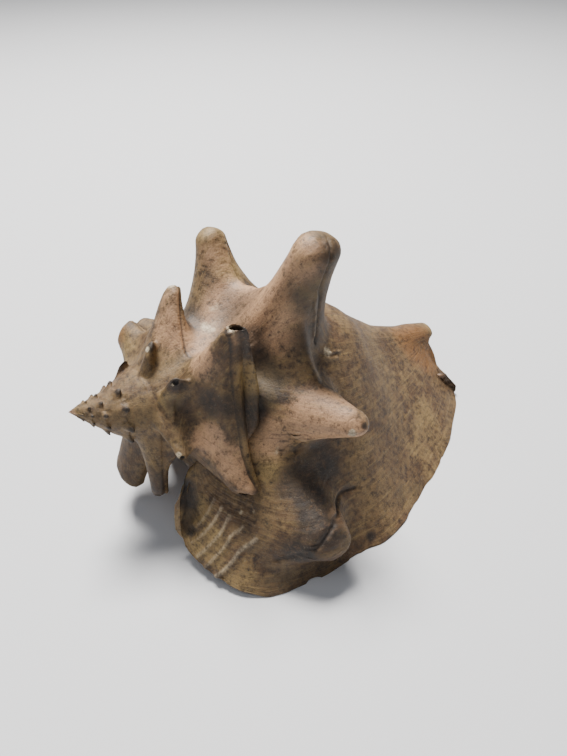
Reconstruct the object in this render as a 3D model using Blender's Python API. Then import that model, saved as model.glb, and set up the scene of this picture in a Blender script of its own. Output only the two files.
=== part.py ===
"""A conch shell lying on its mouth: one coiled solid with a flared lip, hollow inside the mouth.

Lengths are metres and turns are degrees. The shell is worked out round its coiling axis: "along" is the
distance from the tip of the spire towards the canal, "out" is the distance from the axis, and a turn of 0
points up, with the lip at LIP_TURN. Earlier whorls have lower turns, one whorl for every 360 degrees.
"""

import math

import bmesh
import bpy
import numpy as np

# The coil
LENGTH = 0.175
SHOULDER_OUT = 0.038
SHOULDER_TURN = 90.0
EXPANSION = 1.56
SPIRE_SLOPE = 1.72
SHOULDER_DROP = 0.0105
DROP_TURNS = (-80.0, 25.0)
DROP_EASED = 0.6
DROP_EASED_TURNS = (25.0, 100.0)
SHOULDER_ROW = 0.8
LIP_TURN = 125.0
SUTURE_HOLD = 0.10
WHORLS = 8.0
FLARE_TURN = 40.0
LIP_RAMP_SHARE = 0.33
LIP_STEEPNESS = 58.0
LIP_STEEPNESS_EASED = 26.0
LIP_REACH = 0.062
LIP_SPREAD = 0.010
SPIRE_SAG = 0.0026

# How it lies
AXIS_DIP = 12.4
APEX_HEIGHT = 0.0572

# The mouth
WALL = 0.0042
LIP_THICKNESS = 0.0026
CALLUS = 0.0012
MOUTH_DEPTH = 250.0
CHANNEL_TURN = 70.0
WALL_ROWS = (0.45, 1.66)
WALL_ROWS_AT_LIP = (0.07, 1.94)
FLOOR_FIRST_ROW = 1.05
LIP_THINNING = 35.0
CANAL_END = (LENGTH + 0.001, 0.004, 100.0)

# How finely it is built
COLUMNS_PER_WHORL = 120
RAMP_ROWS = 20
SIDE_ROWS = 44
REMESH_SIZE = 0.0013
FACES_KEPT = 9400
ROW_STEP = 0.004
TURN_STEP = 0.4

# A whorl's side from the shoulder to the canal: share of the way, share of the shoulder's distance out
SIDE_SHARES = np.array([0.0, 0.10, 0.24, 0.36, 0.46, 0.56, 0.67, 0.80, 0.92, 1.0])
SIDE_OUTS = np.array([1.0, 0.99, 0.93, 0.82, 0.64, 0.475, 0.335, 0.25, 0.23, 0.21])
SUTURE_SHARE = 0.012
RAMP_DISH = -0.008

# The edge of the lip, from the suture to the canal: share of the way, along, out, and its turn
LIP_EDGE = np.array(
    [
        [0.000, 0.0508, 0.0247, 125],
        [0.030, 0.0410, 0.0280, 127],
        [0.060, 0.0335, 0.0320, 129],
        [0.085, 0.0305, 0.0385, 132],
        [0.110, 0.0295, 0.0465, 136],
        [0.135, 0.0300, 0.0545, 139],
        [0.170, 0.0345, 0.0665, 133],
        [0.200, 0.0400, 0.0755, 128],
        [0.240, 0.0485, 0.0820, 125],
        [0.310, 0.0647, 0.0841, 122],
        [0.400, 0.0868, 0.0825, 119],
        [0.500, 0.1035, 0.0809, 116],
        [0.600, 0.1280, 0.0702, 116],
        [0.700, 0.1430, 0.0628, 116],
        [0.790, 0.1620, 0.0502, 117],
        [0.860, 0.1790, 0.0347, 122],
        [0.915, 0.1742, 0.0225, 119],
        [0.960, 0.1752, 0.0150, 116],
        [1.000, 0.1745, 0.0082, 100],
    ]
)


def spline(knots, values, at):
    """A smooth curve through values at knots, read at the numbers in at."""
    knots = np.asarray(knots, float)
    values = np.asarray(values, float)
    if values.ndim == 1:
        return spline(knots, values[:, None], at)[..., 0]
    slopes = np.gradient(values, knots, axis=0)
    at = np.clip(at, knots[0], knots[-1])
    left = np.clip(np.searchsorted(knots, at, side="right") - 1, 0, len(knots) - 2)
    width = (knots[left + 1] - knots[left])[..., None]
    t = (at - knots[left])[..., None] / width
    return (
        (1 + 2 * t) * (1 - t) ** 2 * values[left]
        + t * (1 - t) ** 2 * width * slopes[left]
        + t * t * (3 - 2 * t) * values[left + 1]
        + t * t * (t - 1) * width * slopes[left + 1]
    )


def smooth(low, high, at):
    """0 below low, 1 above high, and an even rise between them."""
    t = np.clip((at - low) / (high - low), 0, 1)
    return t * t * (3 - 2 * t)


def shoulder(turn):
    """Distance along and out of the shoulder at a turn."""
    out = SHOULDER_OUT * EXPANSION ** ((turn - SHOULDER_TURN) / 360)
    drop = SHOULDER_DROP * smooth(*DROP_TURNS, turn) * (1 - DROP_EASED * smooth(*DROP_EASED_TURNS, turn))
    return SPIRE_SLOPE * out + drop, out


def side(turn, share):
    """Distance along and out on a whorl's side, share 0 at the shoulder and 1 at the canal."""
    along, out = shoulder(turn)
    return along + share * (LENGTH - along), out * spline(SIDE_SHARES, SIDE_OUTS, share)


def suture(turn):
    """Where the next whorl is joined on, below this whorl's shoulder."""
    along, out = shoulder(turn)
    share = SUTURE_SHARE * out / SHOULDER_OUT * LENGTH / (LENGTH - along)
    return side(turn, share)


def axis_sag(along):
    """How far the upper spire hangs off the straight axis, sideways and down alike."""
    return SPIRE_SAG * smooth(0.0, 0.014, along) * (1 - smooth(0.020, 0.052, along)) / math.sqrt(2)


def placed(along, out, turn):
    """A point in the shell's own axes: along, sideways to the lip, up."""
    turn = np.radians(turn)
    sag = axis_sag(along)
    return np.stack([along, out * np.sin(turn) + sag, out * np.cos(turn) - sag], -1)


def coil(turn, row):
    """A point of the regular coil. Rows run 0 at the upper suture, 1 at the lower one and 2 at the canal."""
    turn, row = np.broadcast_arrays(np.asarray(turn, float), np.asarray(row, float))
    along_0, out_0 = suture(turn - 360)
    along_1, out_1 = shoulder(turn)
    along_2, out_2 = suture(turn)
    t = np.clip(row, 0, 1)
    ramp = np.clip(t / SHOULDER_ROW, 0, 1)
    dish = RAMP_DISH * out_1 * np.sin(math.pi * ramp)
    edge = smooth(SHOULDER_ROW, 1, t)
    along = along_0 + (along_1 - along_0) * ramp + dish * 0.5 + (along_2 - along_1) * edge
    out = out_0 + (out_1 - out_0) * ramp - dish + (out_2 - out_1) * edge
    start = (along_2 - along_1) / (LENGTH - along_1)
    below_along, below_out = side(turn, start + (1 - start) * np.clip(row - 1, 0, 1))
    low = row > 1
    return placed(np.where(low, below_along, along), np.where(low, below_out, out), turn)


def flared(turn, row):
    """The coil, with its last part drawn out to the edge of the lip."""
    turn, row = np.broadcast_arrays(np.asarray(turn, float), np.asarray(row, float))
    span = LIP_TURN - FLARE_TURN
    t = np.clip((turn - FLARE_TURN) / span, 0, 1)[..., None]
    start = coil(np.full_like(turn, FLARE_TURN), row)
    leave = (coil(np.full_like(turn, FLARE_TURN + 1), row) - start) * span
    side_share = LIP_RAMP_SHARE + (1 - LIP_RAMP_SHARE) * (row - 1)
    share = np.where(row < 1, LIP_RAMP_SHARE * row, side_share)
    end = placed(*np.moveaxis(spline(LIP_EDGE[:, 0], LIP_EDGE[:, 1:], share), -1, 0))
    steep = np.radians(LIP_STEEPNESS - LIP_STEEPNESS_EASED * smooth(0.2, 0.6, share))
    reach = LIP_REACH * np.sin(math.pi * np.clip(share, 0.03, 0.97)) ** 0.6
    arrive = np.stack([LIP_SPREAD * (2 * share - 1), reach * np.cos(steep), -reach * np.sin(steep)], -1)
    lip = (
        (1 + 2 * t) * (1 - t) ** 2 * start
        + t * (1 - t) ** 2 * leave
        + t * t * (3 - 2 * t) * end
        + t * t * (t - 1) * arrive
    )
    wound = coil(turn, row)
    lip = wound + (lip - wound) * smooth(0, SUTURE_HOLD, row)[..., None]
    return np.where((turn > FLARE_TURN)[..., None], lip, wound)


# Spines: turn, row, half width along, half width round, then where the tip is: along, out and turn, then
# how blunt it is as a share of the half width, and how soon it narrows
SPINES = {
    "side_spine": (62, 0.80, 0.021, 0.0175, 0.0770, 0.0640, 72, 0.26, 1.15),
    "crown_spine": (24, 0.93, 0.024, 0.0185, 0.0728, 0.0742, 20, 0.36, 1.6),
    "back_spine": (-26, 0.86, 0.022, 0.0175, 0.0600, 0.0585, -25, 0.27, 1.4),
    "lip_knob": (98, 0.86, 0.024, 0.019, 0.0690, 0.0765, 107, 0.30, 1.0),
    "rear_ridge": (-95, 0.84, 0.018, 0.019, 0.0420, 0.0430, -88, 0.30, 1.3),
    "foot_spine": (-160, 0.86, 0.018, 0.018, 0.0480, 0.0530, -160, 0.22, 1.4),
    "inner_foot": (-215, 0.86, 0.015, 0.015, 0.0450, 0.0380, 145, 0.24, 1.3),
    "front_spine": (-259, 0.84, 0.016, 0.014, 0.0460, 0.0470, 105, 0.26, 1.15),
    "hollow_spine": (50, 0.07, 0.014, 0.0125, 0.0435, 0.0480, 32, 0.21, 1.1),
    "thorn": (-375, 0.86, 0.015, 0.013, 0.0405, 0.0405, -16, 0.20, 0.95),
    "spade_spine": (-435, 0.82, 0.012, 0.014, 0.0310, 0.0335, -70, 0.42, 1.2),
    "hidden_thorn": (-482, 0.82, 0.008, 0.009, 0.0300, 0.0300, -122, 0.24, 1.3),
    "brown_spine": (-526, 0.82, 0.011, 0.014, 0.0235, 0.0390, -176, 0.62, 1.4),
    "under_spine": (-590, 0.82, 0.009, 0.009, 0.0270, 0.0365, 147, 0.36, 1.2),
    "small_front": (-281, 0.12, 0.0062, 0.0056, 0.0300, 0.0288, 99, 0.22, 1.0),
    "small_hollow": (-308, 0.24, 0.0046, 0.0042, 0.0308, 0.0263, 40, 0.36, 0.7),
    "small_thorn": (-357, 0.15, 0.0038, 0.0036, 0.0270, 0.0237, 3, 0.30, 0.8),
    "filled_saddle": (75, 0.03, 0.012, 0.016, 0.0495, 0.0290, 77, 0.60, 0.6),
    "small_spade": (-776, 0.82, 0.0046, 0.0044, 0.0225, 0.0161, -40, 0.34, 0.8),
}

# Every spine's outline: how soon its foot flares, where its rounded tip starts, how far round it spreads
# and how far down the next whorl its foot reaches
FOOT_FLARE = 0.6
TIP_START = 0.88
SPINE_SPREAD = 80.0
NEXT_WHORL_ROW = 0.3
PROFILE_STEPS = 80

# Knobs on the whorls before the spines, alike and evenly spaced
KNOB_TURNS = np.arange(-832, -2100, -39.0)
KNOB_WIDTH = 0.27
KNOB_REACH = 0.17


def knobs():
    """The small knobs of the upper spire, each sized by its own whorl."""
    found = {}
    for number, turn in enumerate(KNOB_TURNS):
        along, out = shoulder(turn)
        wide = KNOB_WIDTH * out
        tip = (along + 0.10 * out, out * (1 + KNOB_REACH), turn)
        found[f"knob_{number}"] = (turn, 0.82, wide, wide, *tip, 0.26, 1.0)
    return found


def spine_profile(blunt, taper):
    """Share of the base's width and share of the height, at even steps from the base's rim to the tip."""
    height = np.linspace(0, 1, PROFILE_STEPS)
    width = blunt + (1 - blunt) * (1 - height**FOOT_FLARE) ** taper
    cap = np.sqrt(np.clip(1 - ((height - TIP_START) / (1 - TIP_START)) ** 2, 0, 1))
    width = np.where(height > TIP_START, width * cap, width)
    step = np.hypot(np.diff(width) * 0.5, np.diff(height))
    path = np.concatenate([[0], np.cumsum(step)])
    return path / path[-1], width, height


def spine_shift(points, turns, rows, spine):
    """How far each point of the surface moves to make one spine."""
    turn, row, wide_along, wide_round, along, out, tip_turn, blunt, taper = spine
    root = flared(turn, row)
    forward = flared(turn + 1, row) - root
    forward /= np.linalg.norm(forward)
    down = flared(turn, row + 0.03) - flared(turn, row - 0.03)
    down -= forward * (down @ forward)
    down /= np.linalg.norm(down)
    normal = np.cross(down, forward)
    offset = points - root
    span = np.stack([offset @ forward / wide_round, offset @ down / wide_along], -1)
    deep = offset @ normal / (0.5 * (wide_round + wide_along))
    far = np.sqrt((span**2).sum(-1) + deep**2)
    round_from = (turns - turn + 180) % 360 - 180
    covered = (turns > turn + 180) * smooth(0, NEXT_WHORL_ROW, rows)
    near = np.clip(1 - far, 0, 1) * (1 - covered)
    inside = (np.abs(round_from) < SPINE_SPREAD) & (near > 0)
    path, width, height = spine_profile(blunt, taper)
    at = near[inside]
    shrink = (np.interp(at, path, width) / np.maximum(1 - at, 1e-6) - 1)[:, None]
    rise = np.interp(at, path, height)[:, None]
    moved = np.zeros_like(points)
    moved[inside] = offset[inside] * shrink + rise * (placed(along, out, tip_turn) - root)
    return moved


def surface(turn, row):
    """The outside of the shell, spines included."""
    turn, row = np.broadcast_arrays(np.asarray(turn, float), np.asarray(row, float))
    points = flared(turn, row)
    shape = points.shape
    points = points.reshape(-1, 3)
    total = points.copy()
    for spine in {**SPINES, **knobs()}.values():
        total += spine_shift(points, turn.ravel(), row.ravel(), spine)
    return total.reshape(shape)


def facing(turn, row, at):
    """The direction straight out of a surface."""
    across = at(turn, row + ROW_STEP) - at(turn, row - ROW_STEP)
    onward = at(turn + TURN_STEP, row) - at(turn - TURN_STEP, row)
    normal = np.cross(across, onward)
    return normal / np.linalg.norm(normal, axis=-1, keepdims=True)


def inner_wall(turn, share):
    """The inside of the outer wall; share runs 0 near the suture to 1 near the canal."""
    last = smooth(CHANNEL_TURN, LIP_TURN, turn)
    first_row, last_row = (
        deep + (lip - deep) * last for deep, lip in zip(WALL_ROWS, WALL_ROWS_AT_LIP)
    )
    row = first_row + (last_row - first_row) * share
    thick = WALL + (LIP_THICKNESS - WALL) * smooth(LIP_TURN - LIP_THINNING, LIP_TURN, turn)
    return flared(turn, row) - facing(turn, row, flared) * np.asarray(thick)[..., None]


def inner_floor(turn, share):
    """The whorl inside, as the floor of the mouth; share runs 0 near the suture to 1 near the canal."""
    last = smooth(CHANNEL_TURN, LIP_TURN, turn)
    last_row = WALL_ROWS[1] + (WALL_ROWS_AT_LIP[1] - WALL_ROWS[1]) * last
    row = FLOOR_FIRST_ROW + (last_row - FLOOR_FIRST_ROW) * share
    return coil(turn - 360, row) + facing(turn - 360, row, coil) * CALLUS


def joined(first, second):
    """Faces between two lines of vertices that may differ in count."""
    faces = []
    i = 0
    j = 0
    steps_i = len(first) - 1
    steps_j = len(second) - 1
    while i < steps_i or j < steps_j:
        if j == steps_j or (i < steps_i and (i + 1) * steps_j <= (j + 1) * steps_i):
            faces.append((first[i], first[i + 1], second[j]))
            i += 1
        else:
            faces.append((first[i], second[j + 1], second[j]))
            j += 1
    return faces


def quads(table):
    """Faces over a table of vertices."""
    return [
        (table[i][j], table[i + 1][j], table[i + 1][j + 1], table[i][j + 1])
        for i in range(len(table) - 1)
        for j in range(len(table[0]) - 1)
    ]


def shell_mesh():
    """Vertices and faces of the whole closed shell in the shell's own axes."""
    whorl = COLUMNS_PER_WHORL
    last = int(WHORLS * whorl)
    turns = LIP_TURN + (np.arange(last + 1) - last) * 360 / whorl
    strip = surface(turns[:, None], np.arange(RAMP_ROWS + 1)[None] / RAMP_ROWS)
    body = surface(turns[last - whorl :, None], 1 + np.arange(SIDE_ROWS + 1)[None] / SIDE_ROWS)
    points = []

    def add(new):
        start = len(points)
        points.extend(new)
        return list(range(start, len(points)))

    ramp = [add(column[:-1]) for column in strip]
    for i, column in enumerate(ramp):
        column.append(ramp[i + whorl][0] if i + whorl <= last else add(strip[i][-1:])[0])
    side_rows = [[ramp[last - whorl + i][-1]] + add(column[1:]) for i, column in enumerate(body)]
    faces = quads(ramp) + quads(side_rows)

    tip = add([placed(0.0, 0.0, 0.0)])[0]
    rim = [column[0] for column in ramp[: whorl + 1]] + ramp[0][-2:0:-1]
    faces += [(rim[i - 1], rim[i], tip) for i in range(len(rim))]

    canal = add([placed(*CANAL_END)])[0]
    ends = [column[-1] for column in side_rows]
    faces += [(ends[i], ends[i + 1], canal) for i in range(whorl)]

    steps = int(whorl * MOUTH_DEPTH / 360)
    share = np.linspace(0, 1, SIDE_ROWS)[None]
    inside = turns[last - steps :, None]
    outer = [add(column) for column in inner_wall(inside, share)]
    floor = [add(column) for column in inner_floor(inside, share)]
    loops = [wall + ground[::-1] + wall[:1] for wall, ground in zip(outer, floor)]
    faces += quads(loops)
    deep = add([np.mean([points[v] for v in loops[0]], axis=0)])[0]
    faces += [(loops[0][i], loops[0][i + 1], deep) for i in range(len(loops[0]) - 1)]

    lip = ramp[-1] + side_rows[-1][1:]
    start = side_rows[0]
    faces += joined(lip, outer[-1]) + joined(start, floor[-1])
    faces += [
        (lip[0], outer[-1][0], floor[-1][0]),
        (lip[-1], outer[-1][-1], canal),
        (canal, outer[-1][-1], floor[-1][-1]),
        (canal, floor[-1][-1], start[-1]),
    ]
    return np.array(points), faces


def standing(points):
    """Turns the shell's own axes to where it lies: along is +X and dips, the lip is towards -Y."""
    dip = math.radians(AXIS_DIP)
    along, lipward, up = points.T
    return np.stack(
        [
            along * math.cos(dip) + up * math.sin(dip),
            -lipward,
            APEX_HEIGHT - along * math.sin(dip) + up * math.cos(dip),
        ],
        -1,
    )


def shell_material():
    """Weathered brown shell."""
    material = bpy.data.materials.new("shell")
    material.use_nodes = True
    shader = material.node_tree.nodes["Principled BSDF"]
    shader.inputs["Base Color"].default_value = (0.30, 0.21, 0.12, 1)
    shader.inputs["Roughness"].default_value = 0.55
    return material


def build():
    """Makes the shell."""
    for old in list(bpy.data.objects):
        bpy.data.objects.remove(old, do_unlink=True)
    points, faces = shell_mesh()
    mesh = bpy.data.meshes.new("shell")
    mesh.from_pydata(standing(points).tolist(), [], faces)
    shape = bmesh.new()
    shape.from_mesh(mesh)
    bmesh.ops.recalc_face_normals(shape, faces=shape.faces)
    shape.to_mesh(mesh)
    shape.free()
    shell = bpy.data.objects.new("shell", mesh)
    bpy.context.collection.objects.link(shell)
    remesh = shell.modifiers.new("fuse", "REMESH")
    remesh.mode = "VOXEL"
    remesh.voxel_size = REMESH_SIZE
    decimate = shell.modifiers.new("reduce", "DECIMATE")
    graph = bpy.context.evaluated_depsgraph_get()
    fine = shell.evaluated_get(graph).data
    decimate.ratio = FACES_KEPT / sum(len(face.vertices) - 2 for face in fine.polygons)
    graph.update()
    solid = bpy.data.meshes.new_from_object(shell.evaluated_get(graph), depsgraph=graph)
    shell.modifiers.clear()
    shape = bmesh.new()
    shape.from_mesh(solid)
    cut = bmesh.ops.bisect_plane(
        shape,
        geom=shape.verts[:] + shape.edges[:] + shape.faces[:],
        plane_co=(0, 0, 0),
        plane_no=(0, 0, 1),
        clear_inner=True,
    )
    rim = [e for e in cut["geom_cut"] if isinstance(e, bmesh.types.BMEdge) and e.is_boundary]
    bmesh.ops.triangle_fill(shape, use_beauty=True, use_dissolve=False, edges=rim, normal=(0, 0, -1))
    bmesh.ops.triangulate(shape, faces=shape.faces)
    bmesh.ops.recalc_face_normals(shape, faces=shape.faces)
    middle = [
        0.5 * (min(v.co[k] for v in shape.verts) + max(v.co[k] for v in shape.verts)) for k in (0, 1)
    ]
    bmesh.ops.translate(shape, vec=(-middle[0], -middle[1], 0), verts=shape.verts)
    shape.to_mesh(solid)
    shape.free()
    shell.data = solid
    solid.materials.clear()
    solid.materials.append(shell_material())


build()
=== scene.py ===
"""A weathered conch shell, lying on its mouth on a pale counter.

Lengths are metres and turns are degrees. The shell is worked out round its coiling axis: "along" is the
distance from the tip of the spire towards the canal, "out" is the distance from the axis, and a turn of 0
points up. A row runs down the side of a whorl: 0 at its upper suture, 1 at its lower one, 2 at the canal.
"""

import collections
import functools
import math

import bmesh
import bpy
import numpy as np
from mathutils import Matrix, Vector


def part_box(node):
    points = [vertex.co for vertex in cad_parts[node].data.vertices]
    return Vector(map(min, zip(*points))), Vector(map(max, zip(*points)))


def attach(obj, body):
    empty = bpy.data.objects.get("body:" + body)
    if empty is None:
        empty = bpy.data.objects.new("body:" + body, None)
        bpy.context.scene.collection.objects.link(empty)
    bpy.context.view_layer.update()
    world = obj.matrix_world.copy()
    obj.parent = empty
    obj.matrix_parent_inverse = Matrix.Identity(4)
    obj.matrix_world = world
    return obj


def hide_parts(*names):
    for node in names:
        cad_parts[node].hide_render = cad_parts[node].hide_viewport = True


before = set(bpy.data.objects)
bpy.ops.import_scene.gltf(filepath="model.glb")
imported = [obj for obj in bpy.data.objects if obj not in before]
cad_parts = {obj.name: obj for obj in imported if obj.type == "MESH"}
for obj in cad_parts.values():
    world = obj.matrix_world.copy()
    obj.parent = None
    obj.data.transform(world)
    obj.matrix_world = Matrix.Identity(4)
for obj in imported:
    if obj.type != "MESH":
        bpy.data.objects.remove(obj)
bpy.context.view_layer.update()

# The coil: one tube of shell wound round an axis, each whorl larger than the last by the same factor.
# It lies with its mouth down, so the axis dips from the tip of the spire towards the canal.

LENGTH = 0.175
SHOULDER_OUT = 0.038
SHOULDER_TURN = 90.0
EXPANSION = 1.56
SPIRE_SLOPE = 1.72
SHOULDER_DROP = 0.0105
DROP_STARTS = (-80, 25)
DROP_EASES = (25, 100)
DROP_LOSS = 0.6
SPIRE_SAG = 0.0026
SAG_STARTS = (0.0, 0.014)
SAG_ENDS = (0.020, 0.052)
AXIS_DIP = 12.4
APEX_HEIGHT = 0.0572
SIDE_SHARES = np.array([0.0, 0.10, 0.24, 0.36, 0.46, 0.56, 0.67, 0.80, 0.92, 1.0])
SIDE_OUTS = np.array([1.0, 0.99, 0.93, 0.82, 0.64, 0.475, 0.335, 0.25, 0.23, 0.21])
SUTURE_SHARE = 0.012
RAMP_END = 0.8
RAMP_DISH = -0.008


def spline(knots, values, at):
    """A smooth curve through values at knots, read at the numbers in at."""
    knots = np.asarray(knots, float)
    values = np.asarray(values, float)
    if values.ndim == 1:
        return spline(knots, values[:, None], at)[..., 0]
    slopes = np.gradient(values, knots, axis=0)
    at = np.clip(at, knots[0], knots[-1])
    left = np.clip(np.searchsorted(knots, at, side="right") - 1, 0, len(knots) - 2)
    width = (knots[left + 1] - knots[left])[..., None]
    t = (at - knots[left])[..., None] / width
    return (
        (1 + 2 * t) * (1 - t) ** 2 * values[left]
        + t * (1 - t) ** 2 * width * slopes[left]
        + t * t * (3 - 2 * t) * values[left + 1]
        + t * t * (t - 1) * width * slopes[left + 1]
    )


def smooth(low, high, at):
    """0 below low, 1 above high, and an even rise between them."""
    t = np.clip((at - low) / (high - low), 0, 1)
    return t * t * (3 - 2 * t)


def shoulder(turn):
    """Distance along and out of the shoulder at a turn."""
    out = SHOULDER_OUT * EXPANSION ** ((turn - SHOULDER_TURN) / 360)
    drop = SHOULDER_DROP * smooth(*DROP_STARTS, turn) * (1 - DROP_LOSS * smooth(*DROP_EASES, turn))
    return SPIRE_SLOPE * out + drop, out


def side(turn, share):
    """Distance along and out on a whorl's side, share 0 at the shoulder and 1 at the canal."""
    along, out = shoulder(turn)
    return along + share * (LENGTH - along), out * spline(SIDE_SHARES, SIDE_OUTS, share)


def suture(turn):
    """Where the next whorl is joined on, below this whorl's shoulder."""
    along, out = shoulder(turn)
    share = SUTURE_SHARE * out / SHOULDER_OUT * LENGTH / (LENGTH - along)
    return side(turn, share)


def placed(along, out, turn):
    """A point in the shell's own axes: along, sideways to the lip, up."""
    turn = np.radians(turn)
    sag = SPIRE_SAG * smooth(*SAG_STARTS, along) * (1 - smooth(*SAG_ENDS, along)) / math.sqrt(2)
    return np.stack([along, out * np.sin(turn) + sag, out * np.cos(turn) - sag], -1)


def coil(turn, row):
    """A point of the regular coil."""
    turn, row = np.broadcast_arrays(np.asarray(turn, float), np.asarray(row, float))
    along_0, out_0 = suture(turn - 360)
    along_1, out_1 = shoulder(turn)
    along_2, out_2 = suture(turn)
    t = np.clip(row, 0, 1)
    ramp = np.clip(t / RAMP_END, 0, 1)
    dish = RAMP_DISH * out_1 * np.sin(math.pi * ramp)
    edge = smooth(RAMP_END, 1, t)
    along = along_0 + (along_1 - along_0) * ramp + dish * 0.5 + (along_2 - along_1) * edge
    out = out_0 + (out_1 - out_0) * ramp - dish + (out_2 - out_1) * edge
    start = (along_2 - along_1) / (LENGTH - along_1)
    below_along, below_out = side(turn, start + (1 - start) * np.clip(row - 1, 0, 1))
    low = row > 1
    return placed(np.where(low, below_along, along), np.where(low, below_out, out), turn)


def standing(points):
    """Turns the shell's own axes to where it lies: along is +X and dips, the lip is towards -Y."""
    dip = math.radians(AXIS_DIP)
    along, lipward, up = points.T
    return np.stack(
        [
            along * math.cos(dip) + up * math.sin(dip),
            -lipward,
            APEX_HEIGHT - along * math.sin(dip) + up * math.cos(dip),
        ],
        -1,
    )


# The flared lip: once full size, the shell spreads the edge of its mouth into a broad wing. Share, along,
# out and turn follow its edge from the suture to the canal.

FLARE_TURN = 40.0
LIP_TURN = 125.0
SUTURE_HOLD = 0.10
LIP_RAMP_SHARE = 0.33
LIP_STEEP = 58.0
LIP_STEEP_LOSS = 26.0
LIP_STEEP_SHARES = (0.2, 0.6)
LIP_REACH = 0.062
LIP_SPLAY = 0.010
LIP_EDGE = np.array(
    [
        [0.000, 0.0508, 0.0247, 125],
        [0.030, 0.0410, 0.0280, 127],
        [0.060, 0.0335, 0.0320, 129],
        [0.085, 0.0305, 0.0385, 132],
        [0.110, 0.0295, 0.0465, 136],
        [0.135, 0.0300, 0.0545, 139],
        [0.170, 0.0345, 0.0665, 133],
        [0.200, 0.0400, 0.0755, 128],
        [0.240, 0.0485, 0.0820, 125],
        [0.310, 0.0647, 0.0841, 122],
        [0.400, 0.0868, 0.0825, 119],
        [0.500, 0.1035, 0.0809, 116],
        [0.600, 0.1280, 0.0702, 116],
        [0.700, 0.1430, 0.0628, 116],
        [0.790, 0.1620, 0.0502, 117],
        [0.860, 0.1790, 0.0347, 122],
        [0.915, 0.1742, 0.0225, 119],
        [0.960, 0.1752, 0.0150, 116],
        [1.000, 0.1745, 0.0082, 100],
    ]
)


def flared(turn, row):
    """The coil, with its last part drawn out to the edge of the lip."""
    turn, row = np.broadcast_arrays(np.asarray(turn, float), np.asarray(row, float))
    span = LIP_TURN - FLARE_TURN
    t = np.clip((turn - FLARE_TURN) / span, 0, 1)[..., None]
    start = coil(np.full_like(turn, FLARE_TURN), row)
    leave = (coil(np.full_like(turn, FLARE_TURN + 1), row) - start) * span
    share = np.where(row < 1, LIP_RAMP_SHARE * row, LIP_RAMP_SHARE + (1 - LIP_RAMP_SHARE) * (row - 1))
    end = placed(*np.moveaxis(spline(LIP_EDGE[:, 0], LIP_EDGE[:, 1:], share), -1, 0))
    steep = np.radians(LIP_STEEP - LIP_STEEP_LOSS * smooth(*LIP_STEEP_SHARES, share))
    reach = LIP_REACH * np.sin(math.pi * np.clip(share, 0.03, 0.97)) ** 0.6
    arrive = np.stack([-LIP_SPLAY * (1 - 2 * share), reach * np.cos(steep), -reach * np.sin(steep)], -1)
    lip = (
        (1 + 2 * t) * (1 - t) ** 2 * start
        + t * (1 - t) ** 2 * leave
        + t * t * (3 - 2 * t) * end
        + t * t * (t - 1) * arrive
    )
    wound = coil(turn, row)
    lip = wound + (lip - wound) * smooth(0, SUTURE_HOLD, row)[..., None]
    return np.where((turn > FLARE_TURN)[..., None], lip, wound)


# The spines: blunt horns that the shell drew out of its shoulder, a few of them worn open at the tip. Each
# rises from its root's turn and row to a tip of its own. Widths are half widths, blunt and hole width are
# shares of the base and the tip, taper says how soon it narrows, and hole depth is a share of the height.

Spine = collections.namedtuple(
    "Spine", "turn row wide_along wide_round tip_along tip_out tip_turn blunt taper hole_width hole_depth"
)
SPINES = [
    Spine(62, 0.80, 0.021, 0.0175, 0.0770, 0.0640, 72, 0.22, 1.15, 0.0, 0.0),
    Spine(24, 0.93, 0.024, 0.0185, 0.0728, 0.0742, 20, 0.36, 1.6, 0.0, 0.0),
    Spine(-26, 0.86, 0.022, 0.0175, 0.0600, 0.0585, -25, 0.27, 1.4, 0.0, 0.0),
    Spine(98, 0.86, 0.024, 0.019, 0.0690, 0.0765, 107, 0.30, 1.0, 0.0, 0.0),
    Spine(-95, 0.84, 0.018, 0.019, 0.0420, 0.0430, -88, 0.30, 1.3, 0.0, 0.0),
    Spine(-160, 0.86, 0.018, 0.018, 0.0480, 0.0530, -160, 0.22, 1.4, 0.0, 0.0),
    Spine(-215, 0.86, 0.015, 0.015, 0.0450, 0.0380, 145, 0.24, 1.3, 0.0, 0.0),
    Spine(-259, 0.84, 0.016, 0.014, 0.0460, 0.0470, 105, 0.26, 1.15, 0.8, 0.16),
    Spine(50, 0.07, 0.014, 0.0125, 0.0435, 0.0480, 32, 0.21, 1.1, 0.8, 0.14),
    Spine(-375, 0.86, 0.015, 0.013, 0.0405, 0.0405, -16, 0.20, 0.95, 0.0, 0.0),
    Spine(-435, 0.82, 0.012, 0.014, 0.0310, 0.0335, -70, 0.42, 1.2, 0.0, 0.0),
    Spine(-482, 0.82, 0.008, 0.009, 0.0300, 0.0300, -122, 0.24, 1.3, 0.0, 0.0),
    Spine(-526, 0.82, 0.011, 0.014, 0.0235, 0.0390, -176, 0.62, 1.4, 0.0, 0.0),
    Spine(-590, 0.82, 0.009, 0.009, 0.0270, 0.0365, 147, 0.36, 1.2, 0.6, 0.10),
    Spine(-281, 0.12, 0.0062, 0.0056, 0.0300, 0.0288, 99, 0.22, 1.0, 0.75, 0.14),
    Spine(-308, 0.24, 0.0046, 0.0042, 0.0308, 0.0263, 40, 0.36, 0.7, 0.75, 0.12),
    Spine(-357, 0.15, 0.0038, 0.0036, 0.0270, 0.0237, 3, 0.30, 0.8, 0.0, 0.0),
    Spine(-776, 0.82, 0.0046, 0.0044, 0.0225, 0.0161, -40, 0.34, 0.8, 0.0, 0.0),
    Spine(75, 0.03, 0.012, 0.016, 0.0495, 0.0290, 77, 0.60, 0.6, 0.0, 0.0),
]
KNOB_TURNS = np.arange(-832, -2100, -39.0)
KNOB_ROW = 0.82
KNOB_WIDTH = 0.27
KNOB_REACH = 0.24
KNOB_LEAN = 0.10
KNOB_BLUNT = 0.26
SPINE_TURNS = 80
SPINE_ROW_STEP = 0.03
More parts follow.
